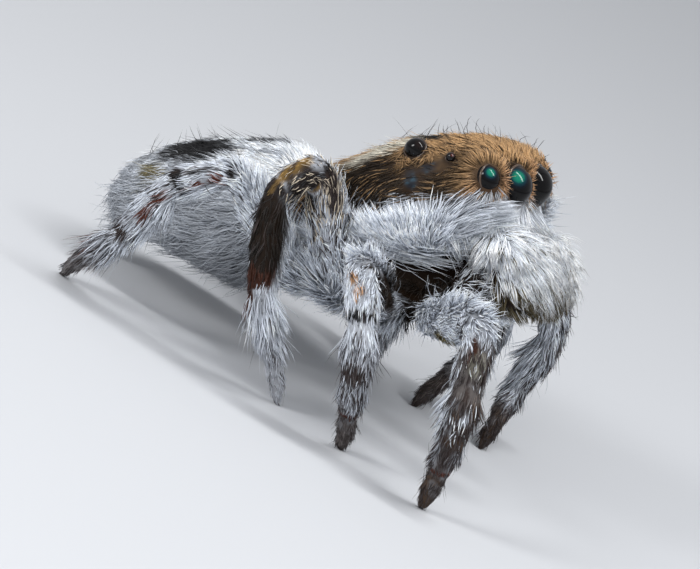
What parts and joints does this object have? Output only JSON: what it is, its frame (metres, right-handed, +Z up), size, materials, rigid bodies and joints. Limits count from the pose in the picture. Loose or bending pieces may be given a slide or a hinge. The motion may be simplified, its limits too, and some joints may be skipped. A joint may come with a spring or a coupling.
{
  "type": "jumping spider",
  "caption": "Jumping spider standing on all its legs, with a tan head, large front eyes, and a shaggy white coat over the body, legs and palps.",
  "frame": {"origin": "on the floor, under the middle of the whole animal's box", "axes": "+Z up, +X the way the spider faces, +Y its left side"},
  "size_m": [0.0084, 0.0068, 0.0049],
  "materials": {
    "tan_coat": "short dense tan hair over dark brown cuticle",
    "white_coat": "long soft white hair",
    "leg_coat": "shaggy white and grey hair with dark bands",
    "foot_coat": "thin brown and grey hair over brown cuticle",
    "cuticle": "bare dark brown cuticle with a soft gloss",
    "lens": "black glassy lens with a green glint"
  },
  "bodies": {
    "root": {"eye_front_middle_right": "lens", "eye_front_side_right": "lens", "eye_small_right": "lens", "eye_rear_right": "lens", "eye_front_middle_left": "lens", "eye_front_side_left": "lens", "eye_small_left": "lens", "eye_rear_left": "lens", "chelicera_right": "cuticle", "chelicera_left": "cuticle", "carapace": "tan_coat", "sternum": "cuticle", "abdomen": "white_coat", "pedicel": "cuticle", "spinnerets": "foot_coat", "palp_end_right": "white_coat", "palp_base_right": "cuticle", "palp_end_left": "white_coat", "palp_base_left": "cuticle", "leg1_right_femur": "leg_coat", "leg1_right_patella": "leg_coat", "leg1_right_tibia": "leg_coat", "leg1_right_metatarsus": "leg_coat", "leg1_right_tarsus": "foot_coat", "leg2_right_femur": "leg_coat", "leg2_right_patella": "leg_coat", "leg2_right_tibia": "leg_coat", "leg2_right_metatarsus": "leg_coat", "leg2_right_tarsus": "foot_coat", "leg3_right_femur": "leg_coat", "leg3_right_patella": "leg_coat", "leg3_right_tibia": "leg_coat", "leg3_right_metatarsus": "leg_coat", "leg3_right_tarsus": "foot_coat", "leg4_right_femur": "leg_coat", "leg4_right_patella": "leg_coat", "leg4_right_tibia": "leg_coat", "leg4_right_metatarsus": "leg_coat", "leg4_right_tarsus": "foot_coat", "leg1_left_femur": "leg_coat", "leg1_left_patella": "leg_coat", "leg1_left_tibia": "leg_coat", "leg1_left_metatarsus": "leg_coat", "leg1_left_tarsus": "foot_coat", "leg2_left_femur": "leg_coat", "leg2_left_patella": "leg_coat", "leg2_left_tibia": "leg_coat", "leg2_left_metatarsus": "leg_coat", "leg2_left_tarsus": "foot_coat", "leg3_left_femur": "leg_coat", "leg3_left_patella": "leg_coat", "leg3_left_tibia": "leg_coat", "leg3_left_metatarsus": "leg_coat", "leg3_left_tarsus": "foot_coat", "leg4_left_femur": "leg_coat", "leg4_left_patella": "leg_coat", "leg4_left_tibia": "leg_coat", "leg4_left_metatarsus": "leg_coat", "leg4_left_tarsus": "foot_coat"}
  },
  "joints": []
}
